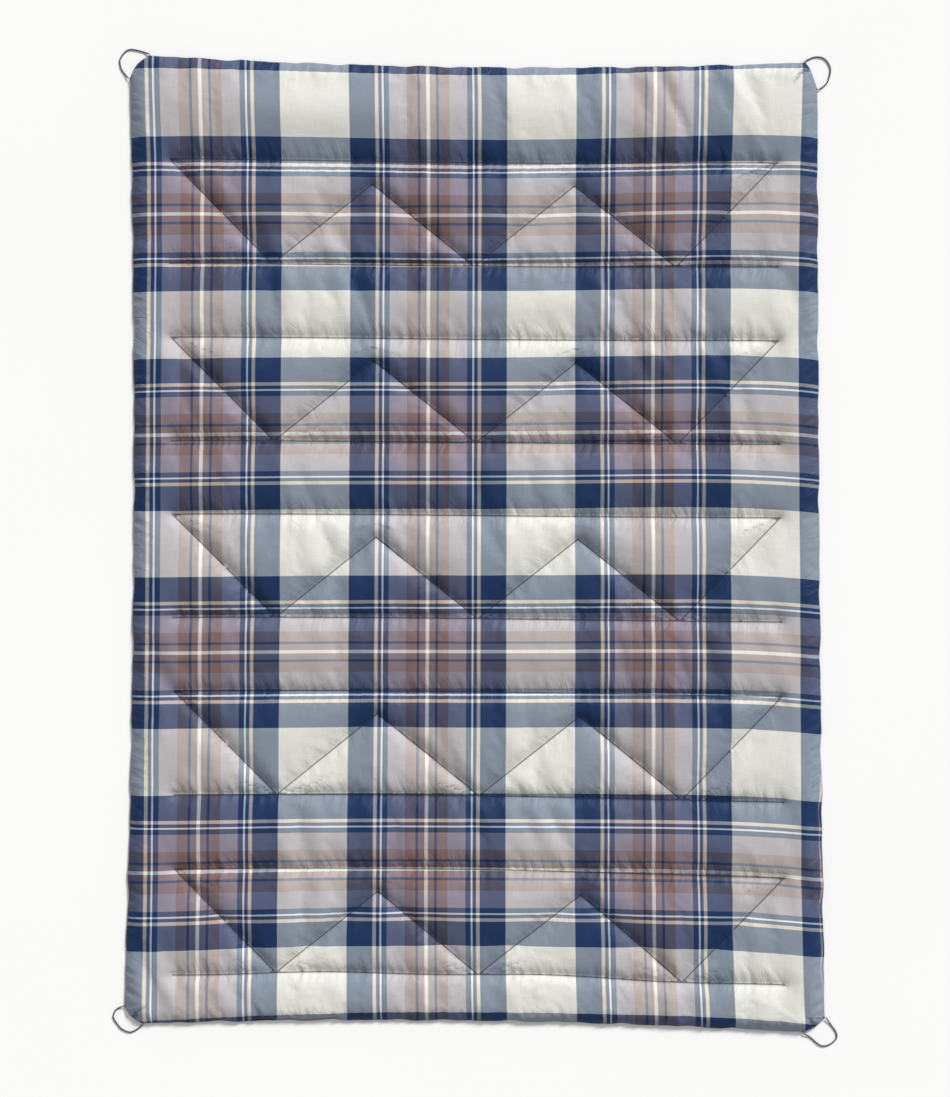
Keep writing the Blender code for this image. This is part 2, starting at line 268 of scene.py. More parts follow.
def laid(x, y):
    """Where points of the quilting lie in plan. The sewn edge stays where it is."""
    ease = np.clip(nearest_line(x, y, edge_lines)[0] / LAY_EASE, 0, 1)
    ease = ease**2 * (3 - 2 * ease)
    turn = x / WAVE_LENGTH * 2 * math.pi
    wave = (WAVE_HEIGHT[0] * np.cos(turn) + WAVE_HEIGHT[1] * np.sin(turn)) * np.exp(
        -((y - row_y[-1]) / WAVE_REACH) ** 2)
    return x + ease * drift(x, y, LAY_X), y + ease * (drift(x, y, LAY_Y) + wave)


plan_x, plan_y = laid(plan_x, plan_y)

# Heights above the floor: the stitched lines, the sewn edge, and the crown of the puffs, which is
# rounded by averaging neighbours a few times.
STITCH_Z = 0.0060
EDGE_Z = 0.0046
CROWN_Z = 0.0195
PUFF_REACH = 0.060
PUFF_POWER = 5.0
EDGE_DROP_REACH = 0.006
CROWN_ROUNDING = 5
reach = np.clip(np.minimum(to_stitch, to_edge) / PUFF_REACH, 0, 1)
crown = STITCH_Z + (CROWN_Z - STITCH_Z) * (1 - (1 - reach) ** PUFF_POWER)
crown -= (STITCH_Z - EDGE_Z) * np.clip(1 - to_edge / EDGE_DROP_REACH, 0, 1) ** 2
inner_held = stitched[1:-1, 1:-1]
for _ in range(CROWN_ROUNDING):
    beside = (crown[:-2, 1:-1] + crown[2:, 1:-1] + crown[1:-1, :-2] + crown[1:-1, 2:]) / 4
    crown[1:-1, 1:-1] = np.where(inner_held, crown[1:-1, 1:-1], beside)

# Here and there along the right and bottom sides the edge has rolled over, so that a strip of
# the back shows. Elsewhere the seam sits just inside the outer fold.
SEAM_INSET = 0.0008
ROLL_INSET = 0.0065
ROLL_RIGHT = (-0.84, -0.42, 0.05)
ROLL_FOOT = (-0.42, -0.24, 0.03)
RIGHT_SIDE_X = 0.6
FOOT_SIDE_Y = -0.85


def swell(value, start, stop, fade):
    """One between start and stop, fading to zero outside them."""
    return np.clip((value - start) / fade, 0, 1) * np.clip((stop - value) / fade, 0, 1)


rim = np.concatenate([
    np.arange(net_shape[1]),
    np.arange(1, net_shape[0]) * net_shape[1] + net_shape[1] - 1,
    (net_shape[0] - 1) * net_shape[1] + np.arange(net_shape[1] - 2, -1, -1),
    np.arange(net_shape[0] - 2, 0, -1) * net_shape[1],
])
rim_x, rim_y = plan_x.ravel()[rim], plan_y.ravel()[rim]
ahead = np.stack([np.roll(rim_x, -2) - np.roll(rim_x, 2), np.roll(rim_y, -2) - np.roll(rim_y, 2)])
ahead /= np.hypot(*ahead)
inward = np.stack([ahead[1], -ahead[0]])
rolled = swell(rim_y, *ROLL_RIGHT) * (rim_x > RIGHT_SIDE_X)
rolled += swell(rim_x, *ROLL_FOOT) * (rim_y < FOOT_SIDE_Y)
seam_inset = SEAM_INSET + (ROLL_INSET - SEAM_INSET) * rolled
face_x, face_y = plan_x.copy(), plan_y.copy()
face_x.ravel()[rim] += inward[0] * seam_inset
face_y.ravel()[rim] += inward[1] * seam_inset


def net_triangles(upward):
    """The net's triangles. A cell that a stitched line crosses is cut along that line."""
    index = np.arange(net_shape[0] * net_shape[1]).reshape(net_shape)
    a, b = index[:-1, :-1].ravel(), index[:-1, 1:].ravel()
    c, d = index[1:, 1:].ravel(), index[1:, :-1].ravel()
    held = stitched.ravel()
    down = held[a] & held[c]
    up = held[b] & held[d]
    rows, columns = np.indices((net_shape[0] - 1, net_shape[1] - 1))
    down |= ~up & ((rows + columns) % 2 == 0).ravel()
    one = np.where(down[:, None], np.stack([a, d, c], 1), np.stack([a, d, b], 1))
    two = np.where(down[:, None], np.stack([a, c, b], 1), np.stack([b, d, c], 1))
    both = np.stack([one, two], 1).reshape(-1, 3)
    return both if upward else both[:, ::-1]


def build_mesh(name, points, faces):
    """A smooth-shaded mesh object from arrays of points and of faces."""
    mesh = bpy.data.meshes.new(name)
    mesh.vertices.add(len(points))
    mesh.vertices.foreach_set("co", np.asarray(points, np.float32).ravel())
    size = faces.shape[1]
    mesh.loops.add(faces.size)
    mesh.loops.foreach_set("vertex_index", faces.astype(np.int32).ravel())
    mesh.polygons.add(len(faces))
    mesh.polygons.foreach_set("loop_start", np.arange(0, faces.size, size, dtype=np.int32))
    mesh.polygons.foreach_set("use_smooth", np.ones(len(faces), bool))
    mesh.update(calc_edges=True)
    mesh.validate()
    piece = bpy.data.objects.new(name, mesh)
    bpy.context.scene.collection.objects.link(piece)
    return piece


# How the print lies: the plaid repeats every 415.5 mm both ways, quilting takes the cloth up by
# 2 percent along its length, and it drifts by a few millimetres between the stitches.
PERIOD = 0.4155
TAKE_UP = 1.0196
DRIFT_X = (-0.1, -1.8, 1.9, -6.1, -2.2, 8.1, -3.0, 6.9, 0.0, -3.7, -9.2,
           1.3, 1.7, -2.1, -2.8, 5.8, -1.5, 2.4, 3.2, 1.2, -6.4)
DRIFT_Y = (-1.4, 11.2, 2.2, -0.1, 0.1, 1.1, -1.2, -4.3, 10.8, 5.7, -5.3,
           -5.4, -9.7, -1.3, -12.8, -8.0, -1.9, -5.7, 9.9, 5.9, 9.8)


def lay_print(piece, across, along):
    """Gives a cloth its own coordinates in metres, as warp and weft count them."""
    layer = piece.data.uv_layers.new(name="cloth")
    corner = np.empty(len(piece.data.loops), np.int32)
    piece.data.loops.foreach_get("vertex_index", corner)
    layer.data.foreach_set("uv", np.stack([across[corner], along[corner]], 1).astype(np.float32).ravel())


print_u = (plan_x + drift(plan_x, plan_y, DRIFT_X)).ravel()
print_v = (plan_y * TAKE_UP + drift(plan_x, plan_y, DRIFT_Y)).ravel()


# Gathering: the thread draws the stitched lines up, so ripples 17 to 31 mm long stand across them
# and die away beside them. The cloth there has a little to spare, which the fill's push spreads.
RIPPLE = 0.0008
RIPPLE_LENGTHS = (0.017, 0.0225, 0.031)
RIPPLE_START = 0.006
RIPPLE_SWAY = (0.2, 9)
RIPPLE_SWING = (0.6, 0.4, 48, 20)
SOFT_FOLD = 0.0022
FOLD_LENGTHS = (0.055, 0.083)
FOLD_START = 0.035
FOLD_LEAN = 0.22
FOLD_BEND = (0.018, 13, 4)
FOLD_PATCH = (9.5, 1.1, 11.3, 3)
UNEVEN = 0.0001
SPARE = 0.012
PUSH = 2.5
SETTLE_FRAMES = 14
MOVE_CAP = 0.010


def ripples(along, away, gather):
    """The height of the ripples across a stitched line, with stronger and weaker stretches."""
    sway, sway_turns = RIPPLE_SWAY
    middle, swing_by, swing_turns, wander_turns = RIPPLE_SWING
    slanted = along + sway * away * np.sin(along * sway_turns)
    wave = sum(np.sin(slanted * 2 * math.pi / length + 2 * length * 1000) for length in RIPPLE_LENGTHS)
    swing = middle + swing_by * np.sin(along * swing_turns + 2 * np.sin(along * wander_turns))
    return RIPPLE * wave * swing * gather * np.clip(away / RIPPLE_START, 0, 1)


def soft_folds(x, y, away):
    """The height of the soft folds that lie down the open puffs, 50 to 80 mm apart."""
    short, long = FOLD_LENGTHS
    bend, bend_turns, bend_shift = FOLD_BEND
    wide_turns, wide_shift, long_turns, long_shift = FOLD_PATCH
    bent = x + FOLD_LEAN * y + bend * np.sin(y * bend_turns + bend_shift * x)
    wave = np.sin(bent * 2 * math.pi / short) + 0.8 * np.sin(bent * 2 * math.pi / long + 1.3)
    patch = 0.5 + 0.5 * np.sin(x * wide_turns + wide_shift) * np.sin(y * long_turns + long_shift * x)
    return SOFT_FOLD * wave * patch * np.clip(away / FOLD_START, 0, 1)


def settle(piece, fixed, calm):
    """Lets the cloth settle under the fill's push, held at the stitches, and returns its points."""
    hold = piece.vertex_groups.new(name="stitched")
    for index in np.nonzero(fixed)[0]:
        hold.add([int(index)], 1.0, "REPLACE")
    smooth = piece.vertex_groups.new(name="calm")
    for index in np.nonzero(calm > 0.01)[0]:
        smooth.add([int(index)], float(calm[index]), "REPLACE")
    cloth = piece.modifiers.new("settle", "CLOTH")
    cloth.collision_settings.use_collision = False
    rules = cloth.settings
    rules.quality = 3
    rules.mass = 0.1
    rules.tension_stiffness = 15
    rules.compression_stiffness = 15
    rules.shear_stiffness = 5
    rules.bending_stiffness = 0.02
    rules.vertex_group_mass = "stitched"
    rules.vertex_group_shrink = "calm"
    rules.shrink_min = -SPARE
    rules.shrink_max = 0.0
    rules.use_pressure = True
    rules.uniform_pressure_force = PUSH
    rules.effector_weights.gravity = 0
    for frame_number in range(1, SETTLE_FRAMES + 1):
        bpy.context.scene.frame_set(frame_number)
    settled = piece.evaluated_get(bpy.context.evaluated_depsgraph_get())
    moved = np.empty(len(piece.data.vertices) * 3, np.float32)
    settled.data.vertices.foreach_get("co", moved)
    piece.modifiers.remove(cloth)
    bpy.context.scene.frame_set(1)
    return moved.reshape(-1, 3)


chance = np.random.default_rng(7)
start = np.stack([face_x.ravel(), face_y.ravel(), crown.ravel()], 1)
fixed = stitched.ravel().copy()
fixed[rim] = True
start[:, 2] += (ripples(along, near, gather) + soft_folds(plan_x, plan_y, near)).ravel()
start[~fixed, 2] += chance.normal(0, UNEVEN, (~fixed).sum())
face = build_mesh("face_panel", start, net_triangles(True))
lay_print(face, print_u, print_v)
calm = 1 - gather.ravel()
puckered = settle(face, fixed, calm)
shift = puckered - start
size = np.linalg.norm(shift, axis=1, keepdims=True)
shift *= np.minimum(1, MOVE_CAP / np.maximum(size, 1e-9))
face_points = start + shift
face.data.vertices.foreach_set("co", face_points.astype(np.float32).ravel())
face.data.update()


# What the cloth's material reads at each point: how far off the nearest stitched line is, as far as 12 mm,
# which sets its painted crease shade, how strongly the cloth is gathered, and the place beside and along
# the line.
STITCH_NEAR_MM = 12


def mark(piece, name, values):
    """Stores one number per point of a mesh, for its material to read."""
    layer = piece.data.attributes.new(name, "FLOAT", "POINT")
    layer.data.foreach_set("value", np.asarray(values, np.float32))


mark(face, "stitch_mm", np.clip(to_stitch.ravel() * 1000, 0, STITCH_NEAR_MM))
mark(face, "gather", gather.ravel())
mark(face, "away_mm", near.ravel() * 1000)
mark(face, "along_mm", along.ravel() * 1000)
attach(face, "blanket")
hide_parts("face_fabric")


def linear(hex_colour):
    """An sRGB hex colour as the linear RGBA that the shader wants."""
    parts = [int(hex_colour[i:i + 2], 16) / 255 for i in (1, 3, 5)]
    return (*[p / 12.92 if p <= 0.04045 else ((p + 0.055) / 1.055) ** 2.4 for p in parts], 1.0)


def add_node(tree, kind, settings=None, **links):
    """Adds a node, sets its properties and unlinked inputs, and links the others."""
    node = tree.nodes.new(kind)
    for key, value in (settings or {}).items():
        if isinstance(key, str) and hasattr(node, key):
            setattr(node, key, value)
        else:
            node.inputs[key].default_value = value
    for key, source in links.items():
        name = key[1:] if key[0] == "_" and key[1:].isdigit() else key.replace("__", " ")
        tree.links.new(source, node.inputs[int(name) if name.isdigit() else name])
    return node


# Half of the plaid, from the middle of a motif outwards: width in millimetres and yarn colour.
# The other half mirrors it. A light line covers a little more of what it crosses, by the share
# given last. The colours mix where bands cross, as in a print.
SETT = (
    (2.8, "#E6E5DF", 0.07), (11, "#7A615E", 0), (5.5, "#173057", 0.03), (19, "#7A615E", 0),
    (33, "#8C8493", 0), (8.6, "#173057", 0.03), (4.4, "#ECEEEC", 0.07), (6.3, "#173057", 0.03),
    (5.4, "#D9C8B2", 0.04), (48, "#173057", 0.03), (63.75, "#DAD9D2", 0.06),
)
WARP_MIDDLE = -0.085
WEFT_MIDDLE = PERIOD / 2
PRINT_GAMMA = 2.2
STREAKS_PER_METRE = (620, 26)
STREAK_HEIGHT = 0.0004
# How far the painted crease shade beside a stitched line reaches, and how dark it is at the line.
STITCH_FOLD_MM = (0.3, 2.2)
STITCH_PAINTED_SHADE = 0.38
PUCKER_MM = (14, 60)
PUCKER_HEIGHT = 0.0036
CREASE_MM = (30, 90)
CREASE_WIDTH = 0.045
CREASE_DEPTH = 0.20
PATCHES_PER_METRE = 14


def sett_ramp(tree, coordinate, middle):
    """The yarn colours across one direction of the plaid, with how strongly each covers."""
    moved = add_node(tree, "ShaderNodeMath", {"operation": "SUBTRACT", 1: middle}, _0=coordinate)
    turns = add_node(tree, "ShaderNodeMath", {"operation": "DIVIDE", 1: PERIOD}, _0=moved.outputs[0])
    centred = add_node(tree, "ShaderNodeMath", {"operation": "ADD", 1: 0.5}, _0=turns.outputs[0])
    part = add_node(tree, "ShaderNodeMath", {"operation": "FRACT"}, _0=centred.outputs[0])
    signed = add_node(tree, "ShaderNodeMath", {"operation": "SUBTRACT", 1: 0.5}, _0=part.outputs[0])
    half = add_node(tree, "ShaderNodeMath", {"operation": "ABSOLUTE"}, _0=signed.outputs[0])
    ramp = add_node(tree, "ShaderNodeValToRGB", {}, Fac=half.outputs[0])
    stops = ramp.color_ramp
    stops.interpolation = "CONSTANT"
    edge = 0.0
    for number, (width, colour, cover) in enumerate(SETT):
        stop = stops.elements[0] if number == 0 else stops.elements.new(edge / PERIOD / 1000)
        if number == 0:
            stop.position = 0.0
        stop.color = (*linear(colour)[:3], cover)
        edge += width
    stops.elements.remove(stops.elements[-1])
    return ramp


def taffeta(name, roughness):
    """Polyester taffeta, calendered and printed: a smooth plain weave with a faint, soft shine."""
    material = bpy.data.materials.new(name)
    material.use_nodes = True
    tree = material.node_tree
    shader = tree.nodes["Principled BSDF"]
    cloth = add_node(tree, "ShaderNodeUVMap", {"uv_map": "cloth"})
    axes = add_node(tree, "ShaderNodeSeparateXYZ", {}, Vector=cloth.outputs["UV"])
    warp = sett_ramp(tree, axes.outputs["X"], WARP_MIDDLE)
    weft = sett_ramp(tree, axes.outputs["Y"], WEFT_MIDDLE)
    soft_warp = add_node(tree, "ShaderNodeGamma", {"Gamma": 1 / PRINT_GAMMA}, Color=warp.outputs["Color"])
    soft_weft = add_node(tree, "ShaderNodeGamma", {"Gamma": 1 / PRINT_GAMMA}, Color=weft.outputs["Color"])
    cover = add_node(
        tree, "ShaderNodeMath", {"operation": "SUBTRACT"},
        _0=weft.outputs["Alpha"], _1=warp.outputs["Alpha"],
    )
    share = add_node(tree, "ShaderNodeMath", {"operation": "ADD", 1: 0.5}, _0=cover.outputs[0])
    crossing = add_node(
        tree, "ShaderNodeMix", {"data_type": "RGBA"},
        Factor=share.outputs[0], _6=soft_warp.outputs[0], _7=soft_weft.outputs[0],
    )
    dyed = add_node(tree, "ShaderNodeGamma", {"Gamma": PRINT_GAMMA}, Color=crossing.outputs[2])
    # Thread-to-thread shading. Yarns 0.15 mm apart would not show, so streaks 1.6 mm apart and
    # 40 mm long stand for them.
    fine, long = STREAKS_PER_METRE
    streak_u = add_node(tree, "ShaderNodeMapping", {"Scale": (fine, long, 1)}, Vector=cloth.outputs["UV"])
    streak_v = add_node(tree, "ShaderNodeMapping", {"Scale": (long, fine, 1)}, Vector=cloth.outputs["UV"])
    slub_u = add_node(tree, "ShaderNodeTexNoise", {"Scale": 1.0, "Detail": 2.0}, Vector=streak_u.outputs[0])
    slub_v = add_node(tree, "ShaderNodeTexNoise", {"Scale": 1.0, "Detail": 2.0}, Vector=streak_v.outputs[0])
    slubs = add_node(
        tree, "ShaderNodeMath", {"operation": "ADD"}, _0=slub_u.outputs["Fac"], _1=slub_v.outputs["Fac"],
    )
    shade = add_node(
        tree, "ShaderNodeMapRange", {"From Min": 0.6, "From Max": 1.4, "To Min": 0.93, "To Max": 1.06},
        Value=slubs.outputs[0],
    )
    # Painted shade: the base colour darkens to 0.38 at a stitched line and clears about 2 mm to each side,
    # standing for the shadow in the sharp fold there.
    stitch = add_node(tree, "ShaderNodeAttribute", {"attribute_name": "stitch_mm"})
    deep, clear = STITCH_FOLD_MM
    painted_crease_shade = add_node(
        tree, "ShaderNodeMapRange",
        {"From Min": deep, "From Max": clear, "To Min": STITCH_PAINTED_SHADE, "To Max": 1.0},
        Value=stitch.outputs["Fac"],
    )
    # The streaks' tone times the painted crease shade, which scales the printed colour.
    streaks_and_painted_crease_shade = add_node(
        tree, "ShaderNodeMath", {"operation": "MULTIPLY"}, _0=shade.outputs[0], _1=painted_crease_shade.outputs[0],
    )
    tint = add_node(
        tree, "ShaderNodeVectorMath", {"operation": "SCALE"}, _0=dyed.outputs[0], Scale=streaks_and_painted_crease_shade.outputs[0],
    )
    tree.links.new(tint.outputs[0], shader.inputs["Base Color"])
    gloss = add_node(
        tree, "ShaderNodeMapRange",
        {"From Min": 0.6, "From Max": 1.4, "To Min": roughness - 0.05, "To Max": roughness + 0.07},
        Value=slubs.outputs[0],
    )
    tree.links.new(gloss.outputs[0], shader.inputs["Roughness"])
    # The fine puckers across each stitched line, 14 mm apart, dying away over 45 mm beside it.
    drawn_up = add_node(tree, "ShaderNodeAttribute", {"attribute_name": "gather"})
    away = add_node(tree, "ShaderNodeAttribute", {"attribute_name": "away_mm"})
    along = add_node(tree, "ShaderNodeAttribute", {"attribute_name": "along_mm"})
    across = add_node(tree, "ShaderNodeCombineXYZ", {}, X=along.outputs["Fac"], Y=away.outputs["Fac"])
    apart, long = PUCKER_MM
    drawn = add_node(
        tree, "ShaderNodeMapping", {"Scale": (1 / apart, 1 / long, 1)}, Vector=across.outputs[0],
    )
    pucker = add_node(
        tree, "ShaderNodeTexNoise", {"Scale": 1.0, "Detail": 0.8, "Distortion": 0.4},
        Vector=drawn.outputs[0],
    )
    stretch = add_node(
        tree, "ShaderNodeMapping", {"Scale": (PATCHES_PER_METRE, PATCHES_PER_METRE, 1)},
        Vector=cloth.outputs["UV"],
    )
    patchy = add_node(tree, "ShaderNodeTexNoise", {"Scale": 1.0, "Detail": 1.0}, Vector=stretch.outputs[0])
    strong = add_node(
        tree, "ShaderNodeMapRange", {"From Min": 0.35, "From Max": 0.65, "To Min": 0.35, "To Max": 1.25},
        Value=patchy.outputs["Fac"],
    )
    amount = add_node(
        tree, "ShaderNodeMath", {"operation": "MULTIPLY"}, _0=strong.outputs[0], _1=drawn_up.outputs["Fac"],
    )
    # Between them narrow creases about 30 mm apart, where the cloth has folded in on itself.
    apart, long = CREASE_MM
    folded = add_node(
        tree, "ShaderNodeMapping", {"Scale": (1 / apart, 1 / long, 1)}, Vector=across.outputs[0],
    )
    wander = add_node(
        tree, "ShaderNodeTexNoise", {"Scale": 1.0, "Detail": 0.5, "Distortion": 0.8},
        Vector=folded.outputs[0],
    )
    level = add_node(tree, "ShaderNodeMath", {"operation": "SUBTRACT", 1: 0.5}, _0=wander.outputs["Fac"])
    unsigned = add_node(tree, "ShaderNodeMath", {"operation": "ABSOLUTE"}, _0=level.outputs[0])
    creased = add_node(
        tree, "ShaderNodeMapRange",
        {"From Min": 0.0, "From Max": CREASE_WIDTH, "To Min": CREASE_DEPTH, "To Max": 0.0},
        Value=unsigned.outputs[0],
    )
    raised = add_node(
        tree, "ShaderNodeMath", {"operation": "SUBTRACT"}, _0=pucker.outputs["Fac"], _1=creased.outputs[0],
    )
    height = add_node(
        tree, "ShaderNodeMath", {"operation": "MULTIPLY"}, _0=raised.outputs[0], _1=amount.outputs[0],
    )
    puckers = add_node(
        tree, "ShaderNodeBump", {"Strength": 1.0, "Distance": PUCKER_HEIGHT}, Height=height.outputs[0],
    )
    bump = add_node(
        tree, "ShaderNodeBump", {"Strength": 0.25, "Distance": STREAK_HEIGHT},
        Height=slubs.outputs[0], Normal=puckers.outputs[0],
    )
    tree.links.new(bump.outputs[0], shader.inputs["Normal"])
    shader.inputs["Metallic"].default_value = 0.0
    shader.inputs["IOR"].default_value = 1.45
    shader.inputs["Specular IOR Level"].default_value = 0.22
    shader.inputs["Sheen Weight"].default_value = 0.02
    shader.inputs["Sheen Roughness"].default_value = 0.4
    return material


face.data.materials.append(taffeta("printed_taffeta_face", 0.52))


# ---- Back panel. The same printed taffeta, sewn to the face round the edge. It lies flat on the
# floor between the quilting, and every stitched line lifts it by 3 mm. At the edge it turns up
# and over to the seam, in a lip that is wider where the edge has rolled.
FOOT_REACH = 0.020
OUTER_FOLD_Z = 0.0026
OUTER_FOLD_REACH = 0.012
BACK_LIFT = 0.0030
BACK_LIFT_POWER = 1.5
BACK_PUCKER = 0.35
BACK_PUCKER_TOP = 0.0016
BACK_LOW = 0.00005
BACK_HIGH = 0.0042
BACK_SHIFT = 0.0035
LIP_Z = 0.0041
ROLL_RISE = 0.0014
SEAM_DROP = 0.0001
LIP_SHARE = (0.35, 1.0)
LIP_TURN = (0.002, 0.006)
LIP_SEAM_PAINTED_SHADE_MM = 0.4

lift = BACK_LIFT * np.clip(1 - to_stitch / FOOT_REACH, 0, 1) ** BACK_LIFT_POWER
lift = np.maximum(lift, OUTER_FOLD_Z * np.clip(1 - to_edge / OUTER_FOLD_REACH, 0, 1) ** 2)
relief = (face_points[:, 2] - crown.ravel()) * BACK_PUCKER * np.clip(1 - near.ravel() / GATHER_REACH, 0, 1)
back_z = np.clip(lift.ravel() + np.clip(relief, 0, BACK_PUCKER_TOP), BACK_LOW, BACK_HIGH)
back_z[rim] = OUTER_FOLD_Z
back_points = np.stack([plan_x.ravel(), plan_y.ravel(), back_z], 1)
lip_height = (LIP_Z + ROLL_RISE * rolled, np.full(len(rim), EDGE_Z - SEAM_DROP))
lips = []
for share, height in zip(LIP_SHARE, lip_height):
    lips.append(np.stack([
        rim_x + inward[0] * seam_inset * share, rim_y + inward[1] * seam_inset * share, height,
    ], 1))
count = len(back_points)
rings = [rim, np.arange(len(rim)) + count, np.arange(len(rim)) + count + len(rim)]
back_faces = [net_triangles(False)]
for outer, inner in zip(rings, rings[1:]):
    next_outer, next_inner = np.roll(outer, -1), np.roll(inner, -1)
    back_faces.append(np.stack([outer, inner, next_outer], 1))
    back_faces.append(np.stack([inner, next_inner, next_outer], 1))
back = build_mesh("back_panel", np.vstack([back_points, *lips]), np.vstack(back_faces))
back_u = print_u + BACK_SHIFT
over_u = [back_u[rim] - inward[0] * turned for turned in LIP_TURN]
over_v = [print_v[rim] - inward[1] * turned for turned in LIP_TURN]
lay_print(back, np.concatenate([back_u, *over_u]), np.concatenate([print_v, *over_v]))
# Painted shade: the back is marked like the face, so its material darkens it beside each stitched line. The
# lip's ring at the seam is marked 0.4 mm off a stitched line, so it is painted dark along the seam, while
# the ring at the outer turn is marked clear at 12 mm.
lip_painted_shade_mm = np.repeat([STITCH_NEAR_MM, LIP_SEAM_PAINTED_SHADE_MM], len(rim))
lip_calm = np.zeros(2 * len(rim))
mark(back, "stitch_mm", np.concatenate([np.clip(to_stitch.ravel() * 1000, 0, STITCH_NEAR_MM), lip_painted_shade_mm]))
mark(back, "gather", np.concatenate([gather.ravel(), lip_calm]))
mark(back, "away_mm", np.concatenate([near.ravel() * 1000, lip_calm]))
mark(back, "along_mm", np.concatenate([along.ravel(), along.ravel()[rim], along.ravel()[rim]]) * 1000)
back.data.materials.append(taffeta("printed_taffeta_back", 0.55))
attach(back, "blanket")
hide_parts("back_fabric")


# ---- Fill. One sheet of lofty polyester batting, carded and bonded, cut short of the seam all
# round and caught by every line of quilting. It stays inside the two panels. Its mesh takes
# every third line of the cloths' net, from the sixth line in.
FILL_STRIDE = 3
FILL_MARGIN = 6
FILL_GAP = 0.0010
FILL_LOW_TOP = 0.0044
FILL_LEAST = 0.0004

pick = np.ix_(
    np.arange(FILL_MARGIN, net_shape[0] - FILL_MARGIN, FILL_STRIDE),
    np.arange(FILL_MARGIN, net_shape[1] - FILL_MARGIN, FILL_STRIDE),
)
fill_shape = plan_x[pick].shape
fill_x, fill_y = plan_x[pick].ravel(), plan_y[pick].ravel()
back_level = back_z.reshape(net_shape)
around = range(-FILL_STRIDE, FILL_STRIDE + 1)
highest = np.max([np.roll(back_level, (i, j), (0, 1)) for i in around for j in around], axis=0)
fill_low = np.minimum(highest[pick].ravel() + FILL_GAP / 2, FILL_LOW_TOP)
face_z = face_points[:, 2].reshape(net_shape)
lowest = np.min([np.roll(face_z, (i, j), (0, 1)) for i in around for j in around], axis=0)
fill_high = np.maximum(lowest[pick].ravel() - FILL_GAP, fill_low + FILL_LEAST)
fill_index = np.arange(fill_x.size).reshape(fill_shape)
cells = [fill_index[:-1, :-1], fill_index[1:, :-1], fill_index[1:, 1:], fill_index[:-1, 1:]]
top_cells = np.stack([cell.ravel() for cell in cells], 1)
under_cells = top_cells[:, ::-1] + fill_x.size
border = np.concatenate([
    fill_index[0, :], fill_index[1:, -1], fill_index[-1, -2::-1], fill_index[-2:0:-1, 0],
])
onward = np.roll(border, -1)
walls = np.stack([border, onward, onward + fill_x.size, border + fill_x.size], 1)
fill_points = np.vstack([np.stack([fill_x, fill_y, fill_high], 1), np.stack([fill_x, fill_y, fill_low], 1)])
batting = build_mesh("batting_sheet", fill_points, np.vstack([top_cells, under_cells, walls]))


FIBRES_PER_METRE = 420.0


def bonded_fibre():
    """Carded polyester fibre: dull off-white and tangled, its fine fibres drawn as 2.4 mm strands."""
    material = bpy.data.materials.new("bonded_polyester_fibre")
    material.use_nodes = True
    tree = material.node_tree
    shader = tree.nodes["Principled BSDF"]
    place = add_node(tree, "ShaderNodeTexCoord")
    strands = add_node(
        tree, "ShaderNodeTexNoise", {"Scale": FIBRES_PER_METRE, "Detail": 6.0, "Distortion": 1.2},
        Vector=place.outputs["Object"],
    )
    tone = add_node(tree, "ShaderNodeValToRGB", {}, Fac=strands.outputs["Fac"])
    tone.color_ramp.elements[0].color = linear("#D9D8D2")
    tone.color_ramp.elements[1].color = linear("#F4F3EE")
    tree.links.new(tone.outputs[0], shader.inputs["Base Color"])
    bump = add_node(
        tree, "ShaderNodeBump", {"Strength": 0.5, "Distance": 0.0006}, Height=strands.outputs["Fac"],
    )
    tree.links.new(bump.outputs[0], shader.inputs["Normal"])
    shader.inputs["Roughness"].default_value = 0.95
    shader.inputs["Sheen Weight"].default_value = 0.3
    return material


batting.data.materials.append(bonded_fibre())
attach(batting, "blanket")
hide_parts("insulation_batting")


# ---- Quilting thread. Spun polyester, dark navy, in a lockstitch of 3.2 mm: the needle thread
# lies on the face and the bobbin thread on the back, and they lock in the fill at each hole.
STITCH_LENGTH = 0.0032
THREAD_RADIUS = 0.00032
STITCH_DIP = 0.0005
THREAD_STAND = 0.8
THREAD_END_GAP = 0.006
THREAD_SIDES = 6
RINGS_PER_STITCH = 4
PLY_SCALE = 900.0


def tube(name, path, side, radius):
    """A closed round tube along a path, its rings turned by a vector that points out of its side."""
    heading = np.gradient(path, axis=0)
    heading /= np.linalg.norm(heading, axis=1, keepdims=True)
    side = side - heading * (side * heading).sum(1, keepdims=True)
    side /= np.linalg.norm(side, axis=1, keepdims=True)
    other = np.cross(heading, side)
    angle = (np.arange(THREAD_SIDES) / THREAD_SIDES * 2 * math.pi)[None, :, None]
    spokes = np.cos(angle) * side[:, None, :] + np.sin(angle) * other[:, None, :]
    points = path[:, None, :] + radius * spokes
    ring = np.arange(len(path) * THREAD_SIDES).reshape(len(path), THREAD_SIDES)
    turned = np.roll(ring, -1, axis=1)
    walls = np.stack([ring[:-1].ravel(), turned[:-1].ravel(), turned[1:].ravel(), ring[1:].ravel()], 1)
    caps = [ring[0][::-1], ring[-1]]
    ends = [np.array([cap[[0, 1, 2, 3]], cap[[0, 3, 4, 5]]]) for cap in caps]
    return build_mesh(name, points.reshape(-1, 3), np.vstack([walls, *ends]))


